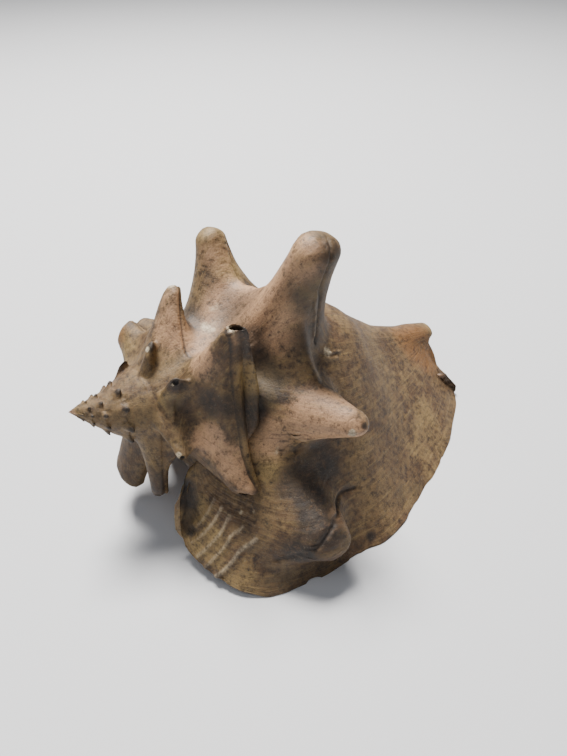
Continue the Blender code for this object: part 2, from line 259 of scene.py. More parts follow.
NEXT_WHORL_ROW = 0.3
PROFILE_POINTS = 120
HOLE_POINTS = 24
CAP_HEIGHT = 0.88
RIM_HEIGHT = 0.97

for knob_turn in KNOB_TURNS:
    knob_along, knob_out = shoulder(knob_turn)
    knob_wide = KNOB_WIDTH * knob_out
    knob_tip = (knob_along + KNOB_LEAN * knob_out, knob_out * (1 + KNOB_REACH), knob_turn)
    SPINES.append(Spine(knob_turn, KNOB_ROW, knob_wide, knob_wide, *knob_tip, KNOB_BLUNT, 1.0, 0.0, 0.0))


@functools.cache
def spine_profile(blunt, taper, hole_width, hole_depth):
    """Share of the base's width and of the height, at even steps from the base's rim to the tip's middle."""
    height = np.linspace(0, 1, PROFILE_POINTS)
    width = blunt + (1 - blunt) * (1 - height**0.6) ** taper
    cap = np.sqrt(np.clip(1 - ((height - CAP_HEIGHT) / (1 - CAP_HEIGHT)) ** 2, 0, 1))
    width = np.where(height > CAP_HEIGHT, width * cap, width)
    if hole_width:
        keep = height <= RIM_HEIGHT
        rim = width[keep][-1]
        hole = np.linspace(0, 1, HOLE_POINTS)
        into = rim * (hole_width + (1 - hole_width) * (1 - hole) ** 4) * np.sqrt(np.clip(1 - hole**6, 0, 1))
        width = np.concatenate([width[keep], into])
        height = np.concatenate([height[keep], RIM_HEIGHT - hole_depth * hole])
    step = np.hypot(np.diff(width) * 0.5, np.diff(height))
    path = np.concatenate([[0], np.cumsum(step)])
    return path / path[-1], width, height


@functools.cache
def spine_frame(spine):
    """The root of a spine on the plain coil, and its directions onward, down the whorl and outward."""
    root = flared(spine.turn, spine.row)
    onward = flared(spine.turn + 1, spine.row) - root
    onward /= np.linalg.norm(onward)
    below = flared(spine.turn, spine.row + SPINE_ROW_STEP)
    down = below - flared(spine.turn, spine.row - SPINE_ROW_STEP)
    down -= onward * (down @ onward)
    down /= np.linalg.norm(down)
    return root, onward, down, np.cross(down, onward)


def spine_reach(points, turns, spine):
    """How near each point is to a spine's root, 1 there and 0 at the rim of its base, and its offset."""
    root, onward, down, outward = spine_frame(spine)
    offset = points - root
    span = np.stack([offset @ onward / spine.wide_round, offset @ down / spine.wide_along], -1)
    deep = offset @ outward / (0.5 * (spine.wide_round + spine.wide_along))
    far = np.sqrt((span**2).sum(-1) + deep**2)
    round_from = (turns - spine.turn + 180) % 360 - 180
    return np.where(np.abs(round_from) < SPINE_TURNS, np.clip(1 - far, 0, 1), 0), offset


def surface(turn, row):
    """The outside with its spines, how high up a spine each point is, and how deep in its hole."""
    points = flared(turn, row)
    total = points.copy()
    raised = np.zeros(len(points))
    hollow = np.zeros(len(points))
    for spine in SPINES:
        near, offset = spine_reach(points, turn, spine)
        near = near * (1 - (turn > spine.turn + 180) * smooth(0, NEXT_WHORL_ROW, row))
        inside = near > 0
        path, width, height = spine_profile(spine.blunt, spine.taper, spine.hole_width, spine.hole_depth)
        far = 1 - near[inside]
        shrink = (np.interp(near[inside], path, width) / np.maximum(far, 1e-6) - 1)[:, None]
        rise = np.interp(near[inside], path, height)
        tip = placed(spine.tip_along, spine.tip_out, spine.tip_turn)
        total[inside] += offset[inside] * shrink + rise[:, None] * (tip - spine_frame(spine)[0])
        raised[inside] = np.maximum(raised[inside], rise)
        if spine.hole_width:
            rim_at = path[np.argmax(height)]
            hollow[inside] = np.maximum(hollow[inside], smooth(rim_at, 0.5 + 0.5 * rim_at, near[inside]))
    return total, raised, hollow


# The mouth: the hollow inside the last whorl, open all the way along between the lip and the whorl above
# it. Its wall thins towards the edge of the lip, and its floor is the earlier whorl under a coat of callus.

WALL = 0.0042
LIP_THICKNESS = 0.0026
CALLUS = 0.0012
MOUTH_DEPTH = 250.0
CHANNEL_TURN = 70.0
LIP_ROUNDING = 0.0009
THINNING = 35
FIRST_ROW = 0.45
FIRST_ROW_DROP = 0.38
LAST_ROW = 1.66
LAST_ROW_GAIN = 0.28
FLOOR_ROW = 1.05
ROW_STEP = 0.004
TURN_STEP = 0.4


def facing(turn, row, at):
    """The direction straight out of a surface."""
    across = at(turn, row + ROW_STEP) - at(turn, row - ROW_STEP)
    onward = at(turn + TURN_STEP, row) - at(turn - TURN_STEP, row)
    normal = np.cross(across, onward)
    return normal / np.linalg.norm(normal, axis=-1, keepdims=True)


def inner_wall(turn, row):
    """The inside of the outer wall; a row of 0 is near the suture and 2 near the canal."""
    last = smooth(CHANNEL_TURN, LIP_TURN, turn)
    first_row = FIRST_ROW - FIRST_ROW_DROP * last
    last_row = LAST_ROW + LAST_ROW_GAIN * last
    behind = first_row + (last_row - first_row) * row / 2
    thick = WALL + (LIP_THICKNESS - WALL) * smooth(LIP_TURN - THINNING, LIP_TURN, turn)
    return flared(turn, behind) - facing(turn, behind, flared) * thick[..., None]


def inner_floor(turn, row):
    """The whorl inside, as the floor of the mouth; a row of 0 is near the suture and 2 near the canal."""
    last_row = LAST_ROW + LAST_ROW_GAIN * smooth(CHANNEL_TURN, LIP_TURN, turn)
    behind = FLOOR_ROW + (last_row - FLOOR_ROW) * row / 2
    return coil(turn - 360, behind) + facing(turn - 360, behind, coil) * CALLUS


# Seams, folds and chips: the growing edge left a narrow seam down the front of each tall horn and folds over
# the lip's corner, and knocks have chipped the edge of the lip. Paths are given by turn and row.

MARKS = [
    # width, depth, path
    (0.0007, -0.0008, [(24, 1.00), (26, 0.95), (30, 0.91), (34, 0.94), (37, 1.02), (42, 1.07), (46, 1.08)]),
    (0.0008, 0.0005, [(24, 0.97), (27, 0.92), (31, 0.88), (35, 0.91), (38, 0.99), (42, 1.04), (45, 1.06)]),
    (0.0007, -0.0007, [(-24, 1.00), (-20, 1.02), (-13, 1.01), (-6, 0.95), (1, 0.82), (8, 0.62)]),
    (0.0008, 0.0005, [(-22, 0.97), (-18, 0.98), (-12, 0.96), (-6, 0.90), (0, 0.77)]),
    (0.0006, 0.0004, [(46, 1.12), (47, 1.15), (47, 1.20)]),
    (0.0006, 0.0004, [(48, 1.11), (50, 1.14), (50, 1.18)]),
    (0.0022, -0.0015, [(110, 0.28), (108, 0.33), (107, 0.39), (111, 0.40), (114, 0.43)]),
    (0.0010, 0.0006, [(112, 0.42), (107, 0.45), (101, 0.465), (95, 0.47)]),
    (0.0010, 0.0007, [(117, 0.445), (109, 0.475), (102, 0.495), (96, 0.505)]),
    (0.0010, 0.0007, [(121, 0.475), (111, 0.505), (104, 0.53), (97, 0.54)]),
    (0.0010, 0.0007, [(123, 0.505), (113, 0.535), (106, 0.56), (99, 0.57)]),
    (0.0011, 0.0008, [(124, 0.54), (115, 0.575), (108, 0.60), (101, 0.61)]),
    (0.0010, -0.0009, [(98, 1.14), (95, 1.03), (94, 0.90), (97, 0.82), (101, 0.75), (108, 0.72)]),
    (0.0010, -0.0007, [(70, 0.62), (74, 0.70), (77, 0.84), (73, 0.92), (68, 0.94)]),
    (0.0010, 0.0006, [(67, 0.62), (71, 0.68), (73, 0.78), (70, 0.86), (66, 0.88)]),
]
CHIPS = [
    # row, half width in rows, depth in degrees
    (0.96, 0.035, 1.6),
    (1.09, 0.020, 0.9),
    (1.34, 0.030, 0.7),
    (1.58, 0.020, 0.8),
    (0.55, 0.030, 0.9),
    (0.40, 0.020, 1.2),
]
EDGE_WAVES = [
    # steepness by row, size in degrees
    (23.0, 0.35),
    (41.0, 0.25),
    (67.0, 0.18),
]
PATH_POINTS = 5
PATH_TURNS = 60
PATH_REACH = 0.006
EDGE_WEAR = 7
EDGE_WEAR_ROWS = (0.02, 0.25)


def from_path(points, turns, path):
    """How far each point is from a path drawn on the outside."""
    turns_on, rows_on = np.array(path, float).T
    steps = np.linspace(0, len(path) - 1, PATH_POINTS * len(path))
    turns_on = np.interp(steps, np.arange(len(path)), turns_on)
    rows_on = np.interp(steps, np.arange(len(path)), rows_on)
    line = surface(turns_on, rows_on)[0]
    nearest = np.full(len(points), 1.0)
    reach = np.linalg.norm(line - line.mean(0), axis=-1).max() + PATH_REACH
    close = np.abs(turns - turns_on.mean()) < PATH_TURNS
    close &= np.linalg.norm(points - line.mean(0), axis=-1) < reach
    for first, second in zip(line, line[1:]):
        step = second - first
        share = np.clip((points[close] - first) @ step / (step @ step), 0, 1)
        away = np.linalg.norm(points[close] - first - share[:, None] * step, axis=-1)
        nearest[close] = np.minimum(nearest[close], away)
    return nearest


def worn_back(turn, row):
    """Turns with the chips and waves of the lip's edge taken off."""
    lost = sum(size * (1 + np.sin(steepness * row)) for steepness, size in EDGE_WAVES)
    for middle_row, wide, deep in CHIPS:
        lost = lost + deep * (1 - smooth(0.6, 1.0, np.abs(row - middle_row) / wide))
    return turn - lost * smooth(LIP_TURN - EDGE_WEAR, LIP_TURN, turn) * smooth(*EDGE_WEAR_ROWS, row)


# The wall of shell: sheets of quads are laid out by turn and row, cut finer where the spines and the edge
# of the lip need it, then bent to shape and welded into one closed skin.

SPIRE_WHORLS = 5
PLAIN_COLUMNS = 125
FLARE_COLUMNS = 115
RAMP_ROWS = 20
RAMP_CROWDING = 1.25
SIDE_ROWS = 84
MOUTH_COLUMNS = 44
MOUTH_CROWDING = 1.3
RIM_FOLDS = (0.12, 0.5, 0.88)
CANAL_END = (LENGTH + 0.001, 0.004, 100.0)
SEAM_MARGIN = 0.02
SHARP_SPINES = 18
SMALL_SPINE = 0.008
MARK_MARGIN = 0.0010
WIDE_MARK = 0.0012
LIP_BACK = (86, 0.20, 1.05)
LIP_CORNER = (90, 0.34, 0.70)
LIP_RIM = (LIP_TURN - 5, 0, 2)

flare_from = FLARE_TURN - 10
round_turns = np.concatenate(
    [
        np.linspace(LIP_TURN - 360, flare_from, PLAIN_COLUMNS, endpoint=False),
        np.linspace(flare_from, LIP_TURN, FLARE_COLUMNS, endpoint=False),
    ]
)
ramp_rows = np.linspace(0, 1, RAMP_ROWS + 1) ** RAMP_CROWDING
all_rows = np.concatenate([ramp_rows, 1 + np.linspace(0, 1, SIDE_ROWS + 1)[1:]])
mouth_turns = LIP_TURN - MOUTH_DEPTH * np.linspace(0, 1, MOUTH_COLUMNS) ** MOUTH_CROWDING

skin = bmesh.new()
LAYERS = {name: skin.verts.layers.float.new(name) for name in ("turn", "row", "fold", "sheet")}
OUTER, FLOOR, FIXED = 0, 1, 2


def add_sheet(turns, rows, fold=0.0, sheet=OUTER):
    """A sheet of vertices, one column for each turn, as yet placed only by turn and row."""
    table = []
    folds = np.broadcast_to(fold, len(turns))
    for turn, folded in zip(turns, folds):
        column = []
        for row in rows:
            vertex = skin.verts.new((0, 0, 0))
            for name, value in (("turn", turn), ("row", row), ("fold", folded), ("sheet", sheet)):
                vertex[LAYERS[name]] = value
            column.append(vertex)
        table.append(column)
    return table


def add_point(place):
    """One vertex at a place in the shell's own axes."""
    vertex = skin.verts.new(place)
    vertex[LAYERS["sheet"]] = FIXED
    return vertex


def add_faces(table):
    """Quads over a table of vertices."""
    for left, right in zip(table, table[1:]):
        for i in range(len(left) - 1):
            skin.faces.new((left[i], right[i], right[i + 1], left[i + 1]))


def add_strip(first, second):
    """Triangles between two lines of vertices that may differ in count."""
    i = 0
    j = 0
    steps_i = len(first) - 1
    steps_j = len(second) - 1
    while i < steps_i or j < steps_j:
        if j == steps_j or (i < steps_i and (i + 1) * steps_j <= (j + 1) * steps_i):
            skin.faces.new((first[i], first[i + 1], second[j]))
            i += 1
        else:
            skin.faces.new((first[i], second[j + 1], second[j]))
            j += 1


# The early whorls show only their ramp, up to where the next whorl is joined on.
whorls_back = range(SPIRE_WHORLS, 0, -1)
spire_turns = np.concatenate([round_turns - 360 * back for back in whorls_back] + [round_turns[:1]])
spire = add_sheet(spire_turns, ramp_rows)
add_faces(spire)

# The last whorl runs out to the lip, folds over its edge and goes back in as the wall of the mouth.
lip_column = len(round_turns)
wall_column = lip_column + 1 + len(RIM_FOLDS)
last_turns = np.concatenate([round_turns, np.full(1 + len(RIM_FOLDS), LIP_TURN), mouth_turns])
last_folds = np.concatenate([np.zeros(lip_column + 1), RIM_FOLDS, np.ones(len(mouth_turns))])
last_whorl = add_sheet(last_turns, all_rows, last_folds)
add_faces(last_whorl)

mouth_floor = add_sheet(mouth_turns, all_rows, sheet=FLOOR)
add_faces(mouth_floor)

# Fans close the tip of the spire and the end of the canal.
apex = add_point(placed(0.0, 0.0, 0.0))
apex_rim = [column[0] for column in spire[: lip_column + 1]] + spire[0][-1:0:-1]
for before, after in zip(apex_rim, apex_rim[1:] + apex_rim[:1]):
    skin.faces.new((before, after, apex))

canal = add_point(placed(*CANAL_END))
canal_ring = [column[-1] for column in last_whorl[: lip_column + 1]]
for before, after in zip(canal_ring, canal_ring[1:]):
    skin.faces.new((before, after, canal))

# The mouth's wall and floor meet along both sides and at a closed inner end.
wall_columns = last_whorl[wall_column:]
for edge_row in (0, -1):
    wall_line = [column[edge_row] for column in wall_columns]
    floor_line = [column[edge_row] for column in mouth_floor]
    add_faces([wall_line, floor_line])
mouth_loop = wall_columns[-1] + mouth_floor[-1][::-1]
mouth_end = add_point((0, 0, 0))
mouth_end[LAYERS["row"]] = -1
for before, after in zip(mouth_loop, mouth_loop[1:] + mouth_loop[:1]):
    skin.faces.new((before, after, mouth_end))

# Where the last whorl sets out, its side runs on into the floor of the mouth, and the lip ends on it.
start_column = last_whorl[0][RAMP_ROWS:]
add_strip(start_column, mouth_floor[0])
lip_columns = last_whorl[lip_column : wall_column + 1]
for before, after in zip(lip_columns, lip_columns[1:]):
    skin.faces.new((before[0], after[0], start_column[0]))
    skin.faces.new((before[-1], after[-1], canal))
skin.faces.new((lip_columns[-1][0], mouth_floor[0][0], start_column[0]))
skin.faces.new((lip_columns[-1][-1], mouth_floor[0][-1], canal))
skin.faces.new((mouth_floor[0][-1], start_column[-1], canal))


def read_layers():
    """Turn, row, fold and sheet of every vertex."""
    return [np.array([vertex[layer] for vertex in skin.verts]) for layer in LAYERS.values()]


def cut_finer(wanted):
    """Cuts the wanted faces of the outside and the lip's edge in four."""
    skin.verts.ensure_lookup_table()
    skin.verts.index_update()
    turn, row, fold, sheet = read_layers()
    inside = (sheet == OUTER) & (fold < 0.99) & (row > SEAM_MARGIN) & (row < 2 - SEAM_MARGIN)
    inside &= (turn > LIP_TURN - 359) | (row < 1 - SEAM_MARGIN)
    chosen = wanted(turn, row) & inside
    faces = [face for face in skin.faces if all(chosen[vertex.index] for vertex in face.verts)]
    edges = {edge for face in faces for edge in face.edges}
    bmesh.ops.subdivide_edges(skin, edges=list(edges), cuts=1, use_grid_fill=True)


def near_tips(closeness, small):
    """Picks what lies closer than that to a spine's root, with another closeness for the small spines."""

    def wanted(turn, row):
        points = flared(turn, row)
        found = np.zeros(len(turn), bool)
        for spine in SPINES[:SHARP_SPINES]:
            needed = closeness if spine.wide_along > SMALL_SPINE else small
            found |= spine_reach(points, turn, spine)[0] > needed
        return found

    return wanted


def near_marks(widths):
    """Picks what lies within so many widths of a seam or fold."""

    def wanted(turn, row):
        points = surface(turn, row)[0]
        found = np.zeros(len(turn), bool)
        for width, _, path in MARKS:
            if width < WIDE_MARK:
                found |= from_path(points, turn, path) < widths * width + MARK_MARGIN
        return found

    return wanted


def on_lip(first_turn, first_row, last_row):
    """Picks what lies past a turn and between two rows."""
    return lambda turn, row: (turn > first_turn) & (row > first_row) & (row < last_row)


cut_finer(near_tips(0.72, 0.15))
cut_finer(near_tips(0.84, 0.60))
cut_finer(on_lip(*LIP_BACK))
cut_finer(on_lip(*LIP_CORNER))
cut_finer(near_marks(1.6))
cut_finer(on_lip(*LIP_RIM))

turn, row, fold, sheet = read_layers()
worn_turn = worn_back(turn, row)
outside, raised, hollow = surface(worn_turn, row)
wall = inner_wall(worn_turn, np.clip(row, 0, 2))
edge_out = flared(np.full_like(turn, LIP_TURN), row) - flared(np.full_like(turn, LIP_TURN - 1), row)
edge_out /= np.linalg.norm(edge_out, axis=-1, keepdims=True)
bulge = edge_out * (LIP_ROUNDING * np.sin(math.pi * fold))[:, None]
place = outside + (wall - outside) * fold[:, None] + bulge
is_floor = sheet == FLOOR
place[is_floor] = inner_floor(turn[is_floor], row[is_floor])
is_fixed = sheet == FIXED
place[is_fixed] = np.array([vertex.co for vertex in skin.verts])[is_fixed]
deepest = (turn == mouth_turns[-1]) & ((sheet == FLOOR) | (fold == 1))
place[is_fixed & (row < 0)] = place[deepest].mean(0)
place = standing(place)

low, high = (np.array(corner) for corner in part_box("shell"))
middle = 0.5 * (low + high) - 0.5 * (place.min(0) + place.max(0))
place[:, :2] += middle[:2]
place = np.clip(place, low, high)
for vertex, spot in zip(skin.verts, place):
    vertex.co = spot

# The worn surface: fine growth ridges run down each whorl where the lip once was, faint cords run round it,
# and years in the sea have left shallow dents and pits. Both kinds of ridge grow with the whorl.

GROWTH_STEP = 0.0016
GROWTH_LENGTH = 9.0
GROWTH_DEPTH = 0.00016
CORD_STEP = 0.0034
CORD_LENGTH = 12.0
CORD_DEPTH = 0.00014
DENT_SIZE = 0.011
DENT_DEPTH = 0.00045
PIT_SIZE = 0.0045
PIT_DEPTH = 0.00030
PIT_EDGE = 0.32
FLARE_GAIN = 1.2
ROW_LENGTH = 1.2
FLOOR_RELIEF = 0.25
SEAM_FADE = 0.08
CANAL_FADE = 0.1
INSIDE_FADE = (LIP_TURN - 20, LIP_TURN - 3)
WELD = 0.000004
RELIEF_SEED = 7.0
SUTURE_WIDTH = 0.0006
SUTURE_DEPTH = 0.0003
SUTURE_FIRST_TURNS = (-700.0, -450.0)
PATCH_TURNS = 120
PATCH_EDGE = (0.25, 1.25)

STAINS = {
    # turn, row, radius, strength of each patch
    "worn": [
        (62, 0.64, 0.016, 1.0), (64, 0.76, 0.011, 1.0), (72, 0.58, 0.013, 0.8), (58, 0.74, 0.009, 0.9),
        (34, 0.48, 0.018, 0.9), (4, 0.52, 0.018, 0.9), (15, 0.62, 0.015, 0.9), (26, 0.72, 0.013, 0.8),
        (2, 0.25, 0.012, 0.7), (14, 0.08, 0.012, 0.8), (-354, 0.70, 0.012, 0.8), (-318, 0.65, 0.010, 0.8),
        (-282, 0.58, 0.009, 0.9), (-278, 0.78, 0.009, 0.9), (-270, 0.84, 0.007, 0.7),
        (-365, 0.8, 0.009, 0.7), (50, 0.04, 0.008, 0.6), (40, 0.30, 0.012, 0.5), (95, 0.95, 0.009, 0.5),
        (-15, 0.70, 0.012, 0.6),
    ],
    # The grime patches are partly dirt and partly painted shadow: some paint the shadows cast below the horns
    # and on the lip's knob.
    "grime": [
        (71, 0.22, 0.013, 1.0), (-290, 0.66, 0.0075, 0.9), (-288, 0.86, 0.0065, 0.8),
        (60, 0.16, 0.008, 0.9), (88, 0.86, 0.011, 1.0), (92, 0.80, 0.010, 1.0), (96, 0.76, 0.008, 0.8),
        (84, 0.78, 0.010, 0.8), (86, 1.05, 0.009, 0.9), (80, 1.02, 0.008, 0.8), (84, 0.93, 0.010, 0.9),
        (119, 1.16, 0.0032, 0.9), (118, 1.38, 0.010, 0.5), (114, 1.31, 0.007, 0.6), (50, 0.55, 0.005, 0.7),
        (54, 0.12, 0.006, 1.0), (108, 0.34, 0.006, 1.0), (110, 0.28, 0.006, 1.0), (-298, 0.28, 0.006, 0.7),
        (-262, 0.96, 0.004, 0.8), (36, 1.10, 0.010, 0.7), (28, 1.05, 0.010, 0.6), (44, 1.10, 0.006, 0.7),
        (-150, 0.9, 0.018, 0.6), (104, 1.0, 0.014, 0.4), (112, 0.9, 0.014, 0.5), (100, 0.60, 0.010, 0.4),
        (-210, 0.8, 0.014, 0.6), (-526, 0.80, 0.013, 0.7), (-590, 0.84, 0.006, 0.5),
        (-160, 0.86, 0.014, 0.5), (-435, 0.80, 0.004, 0.5), (62, 0.82, 0.0018, 1.0),
        (-28, 0.75, 0.010, 0.5), (-20, 0.95, 0.010, 0.4), (-660, 0.6, 0.010, 0.35),
        (-259, 0.86, 0.0045, 0.8), (24, 0.93, 0.006, 0.5), (-26, 0.86, 0.006, 0.5), (34, 0.86, 0.012, 0.6),
        (30, 0.98, 0.012, 0.7), (12, 0.86, 0.012, 0.5), (38, 0.92, 0.014, 0.8), (45, 0.95, 0.012, 0.7),
        (-308, 0.24, 0.0055, 1.0), (-357, 0.15, 0.0035, 0.9), (100, 0.76, 0.010, 1.0),
        (96, 0.84, 0.009, 1.0), (120, 0.80, 0.014, 0.5), (118, 0.95, 0.012, 0.5),
    ],
    "ochre": [
        (40, 0.62, 0.009, 0.9), (36, 0.80, 0.008, 0.8), (52, 0.44, 0.012, 0.9), (58, 0.32, 0.010, 0.8),
        (72, 0.46, 0.012, 0.8), (-24, 0.80, 0.012, 0.9), (-10, 0.86, 0.010, 0.8), (8, 0.44, 0.010, 0.9),
        (110, 1.57, 0.018, 0.40), (112, 1.48, 0.014, 0.45), (98, 1.60, 0.016, 0.45), (75, 1.58, 0.016, 0.4),
        (-640, 0.50, 0.012, 0.35), (-680, 0.60, 0.010, 0.35), (-600, 0.40, 0.008, 0.5),
        (-300, 0.15, 0.007, 0.8), (112, 0.50, 0.014, 0.7), (104, 0.42, 0.010, 0.7), (118, 0.62, 0.012, 0.6),
        (76, 0.62, 0.009, 0.7), (82, 0.66, 0.007, 0.8), (-435, 0.5, 0.012, 0.8),
    ],
    "chalk": [
        (63, 0.775, 0.0022, 1.0), (50, 0.03, 0.0026, 0.9), (-375, 0.83, 0.0020, 0.9),
        (-357, 0.13, 0.0014, 0.8), (-281, 0.10, 0.0016, 0.9), (-308, 0.22, 0.0012, 0.8),
        (-435, 0.80, 0.0022, 0.8), (95, 0.55, 0.0022, 0.55), (93, 0.58, 0.0018, 0.55),
        (4, 0.30, 0.0050, 0.6), (0, 0.42, 0.0040, 0.55), (46, 1.14, 0.0035, 0.6), (76, 0.72, 0.0035, 0.5),
        (-590, 0.82, 0.0022, 0.8), (-262, 0.88, 0.0022, 0.7),
    ],
    "rust": [
        (60, 1.84, 0.018, 0.9), (82, 1.86, 0.016, 0.9), (40, 1.80, 0.014, 0.7), (-435, 0.7, 0.010, 0.7),
    ],
}


def patches(points, turns, spots):
    """Where the soft-edged patches of one stain lie, 0 to 1."""
    found = np.zeros(len(points))
    spots = np.array(spots, float)
    centres = surface(spots[:, 0], spots[:, 1])[0]
    for centre, (spot_turn, _, radius, strength) in zip(centres, spots):
        away = np.linalg.norm(points - centre, axis=-1) / radius
        near = strength * (1 - smooth(*PATCH_EDGE, away)) * (np.abs(turns - spot_turn) < PATCH_TURNS)
        found = np.maximum(found, near)
    return found


def keep_on_mesh(mesh, name, values):
    """Stores one number for each vertex of a mesh."""
    mesh.attributes.new(name, "FLOAT", "POINT").data.foreach_set("value", np.asarray(values, np.float32))


growth_uv = skin.loops.layers.uv.new("growth")
for face in skin.faces:
    for loop in face.loops:
        loop[growth_uv].uv = (loop.vert[LAYERS["turn"]] / 360, loop.vert[LAYERS["row"]])
bmesh.ops.recalc_face_normals(skin, faces=skin.faces)
skin_mesh = bpy.data.meshes.new("shell skin")
skin.to_mesh(skin_mesh)
skin.free()

whorl_out = shoulder(turn)[1] * (1 + FLARE_GAIN * smooth(FLARE_TURN, LIP_TURN, turn))
is_outer = (sheet == OUTER) & (fold < 0.01)
under_next = smooth(1 - SEAM_FADE, 1, row) * (turn < LIP_TURN - 360.5)
fade = smooth(0, SEAM_FADE, row) * (1 - under_next) * (1 - smooth(2 - CANAL_FADE, 2, row))
keep_on_mesh(skin_mesh, "around", np.radians(turn) * whorl_out)
keep_on_mesh(skin_mesh, "down", row * whorl_out * ROW_LENGTH)
keep_on_mesh(skin_mesh, "relief", np.where(is_outer, fade, FLOOR_RELIEF * (sheet == FLOOR)) * (1 - hollow))
carved = np.zeros(len(turn))
for width, depth, path in MARKS:
    carved += depth * np.exp(-((from_path(outside, turn, path) / width) ** 2))
seam_row = ((row > 0.5) & (turn < LIP_TURN - 360)).astype(float)
seam_turn = turn - 360 * (1 - seam_row)
seam_away = np.linalg.norm(outside - surface(turn, seam_row)[0], axis=-1) / SUTURE_WIDTH
seam = np.exp(-(seam_away**2)) * smooth(*SUTURE_FIRST_TURNS, seam_turn)
carved -= SUTURE_DEPTH * seam
keep_on_mesh(skin_mesh, "carved", np.where(is_outer, carved, 0))
keep_on_mesh(skin_mesh, "raised", raised)
keep_on_mesh(skin_mesh, "hollow", hollow)
for stain, spots in STAINS.items():
    keep_on_mesh(skin_mesh, stain, np.where(is_outer, patches(outside, turn, spots), 0))
keep_on_mesh(skin_mesh, "seam", np.where(is_outer, seam, 0))
keep_on_mesh(skin_mesh, "whorl", whorl_out)
deep_in = np.where(sheet == OUTER, (fold > 0.99) * (1 - smooth(*INSIDE_FADE, turn)), 1)
keep_on_mesh(skin_mesh, "inside", deep_in)


class Field:
    """A number or colour that varies over the shell. Sums and products of fields add their Math nodes."""

    def __init__(self, tree, socket=None):
        self.tree = tree
        self.socket = socket

    def node(self, kind, settings=None, sockets=None, output=0):
        """A node of a kind, with its settings made first and then its sockets; gives one of its outputs."""
        made = self.tree.nodes.new(kind)
        for name, value in (settings or {}).items():
            if name == "stops":
                while len(made.color_ramp.elements) < len(value):
                    made.color_ramp.elements.new(1.0)
                for element, (position, colour) in zip(made.color_ramp.elements, value):
                    element.position = position
                    element.color = colour
            else:
                setattr(made, name, value)
        for name, value in (sockets or {}).items():
            if isinstance(value, Field):
                self.tree.links.new(value.socket, made.inputs[name])
            else:
                made.inputs[name].default_value = value
        return Field(self.tree, made.outputs[output])

    def maths(self, operation, *values):
        """A sum, product or other Math node of numbers and fields."""
        return self.node("ShaderNodeMath", {"operation": operation}, dict(enumerate(values)))

    def __add__(self, other):
        return self.maths("ADD", self, other)

    def __sub__(self, other):
        return self.maths("SUBTRACT", self, other)

    def __rsub__(self, other):
        return self.maths("SUBTRACT", other, self)

    def __mul__(self, other):
        return self.maths("MULTIPLY", self, other)

    def __truediv__(self, other):
        return self.maths("DIVIDE", self, other)

    __radd__ = __add__
    __rmul__ = __mul__

    def rise(self, low, high):
        """0 below low, 1 above high, and an even rise between them."""
        sockets = {"Value": self, "From Min": low, "From Max": high}
        return self.node("ShaderNodeMapRange", {"interpolation_type": "SMOOTHSTEP"}, sockets)

    def vector(self, x, y, z):
        """Three numbers as one vector."""
        return self.node("ShaderNodeCombineXYZ", {}, {"X": x, "Y": y, "Z": z})

    def noise(self, vector, scale, detail=2.0, rough=0.5):
        """Soft random lumps, about 0.5 on average."""
        sockets = {"Vector": vector, "Scale": scale, "Detail": detail, "Roughness": rough}
        return self.node("ShaderNodeTexNoise", {}, sockets)


# The relief moves the skin along its normals: ridges and cords, dents and pits, then the carved seams.
relief_tree = bpy.data.node_groups.new("worn relief", "GeometryNodeTree")
for name, kind in [("Geometry", "NodeSocketGeometry"), ("Material", "NodeSocketMaterial")]:
    relief_tree.interface.new_socket(name, in_out="INPUT", socket_type=kind)

RELIEF_SIZES = {
    "Growth Step": GROWTH_STEP,
    "Growth Depth": GROWTH_DEPTH,
    "Cord Step": CORD_STEP,
    "Cord Depth": CORD_DEPTH,
    "Dent Size": DENT_SIZE,
    "Dent Depth": DENT_DEPTH,
    "Pit Size": PIT_SIZE,
    "Pit Depth": PIT_DEPTH,
    "Weld": WELD,
    "Seed": RELIEF_SEED,
}

for name in RELIEF_SIZES:
    relief_tree.interface.new_socket(name, in_out="INPUT", socket_type="NodeSocketFloat")
relief_tree.interface.new_socket("Geometry", in_out="OUTPUT", socket_type="NodeSocketGeometry")

build = Field(relief_tree)
group_in = relief_tree.nodes.new("NodeGroupInput")
given = {socket.name: Field(relief_tree, socket) for socket in group_in.outputs if socket.name}
around, down, relief, carved_in = (
    build.node("GeometryNodeInputNamedAttribute", {"data_type": "FLOAT"}, {"Name": name})
    for name in ("around", "down", "relief", "carved")
)
spot = build.node("GeometryNodeInputPosition")
normal = build.node("GeometryNodeInputNormal")
growth_down = down / (given["Growth Step"] * GROWTH_LENGTH)
growth = build.noise(build.vector(around / given["Growth Step"], growth_down, given["Seed"]), 1.0)
cord_around = around / (given["Cord Step"] * CORD_LENGTH)
cords = build.noise(build.vector(down / given["Cord Step"], cord_around, given["Seed"] + 3.0), 1.0)
dents = build.noise(spot, given["Dent Size"].maths("DIVIDE", 1.0, given["Dent Size"]))
pits = build.node(
    "ShaderNodeTexVoronoi",
    {"feature": "F1"},
    {"Vector": spot, "Scale": given["Pit Size"].maths("DIVIDE", 1.0, given["Pit Size"]), "Randomness": 1.0},
)
height = (
    (growth - 0.5) * given["Growth Depth"] * 2.0
    + (cords - 0.5) * given["Cord Depth"] * 2.0
    + (dents - 0.5) * given["Dent Depth"] * 2.0
    - (1 - pits.rise(0.0, PIT_EDGE)) * given["Pit Depth"]
)
offset = build.node(
    "ShaderNodeVectorMath", {"operation": "SCALE"}, {"Vector": normal, "Scale": height * relief + carved_in}
)
weld_sockets = {"Geometry": given["Geometry"], "Distance": given["Weld"]}
welded = build.node("GeometryNodeMergeByDistance", {}, weld_sockets)
raised_skin = build.node("GeometryNodeSetPosition", {}, {"Geometry": welded, "Offset": offset})
whole = build.node("GeometryNodeRealizeInstances", {}, {"Geometry": raised_skin})
finished = build.node("GeometryNodeSetMaterial", {}, {"Geometry": whole, "Material": given["Material"]})
group_out = relief_tree.nodes.new("NodeGroupOutput")
relief_tree.links.new(finished.socket, group_out.inputs["Geometry"])
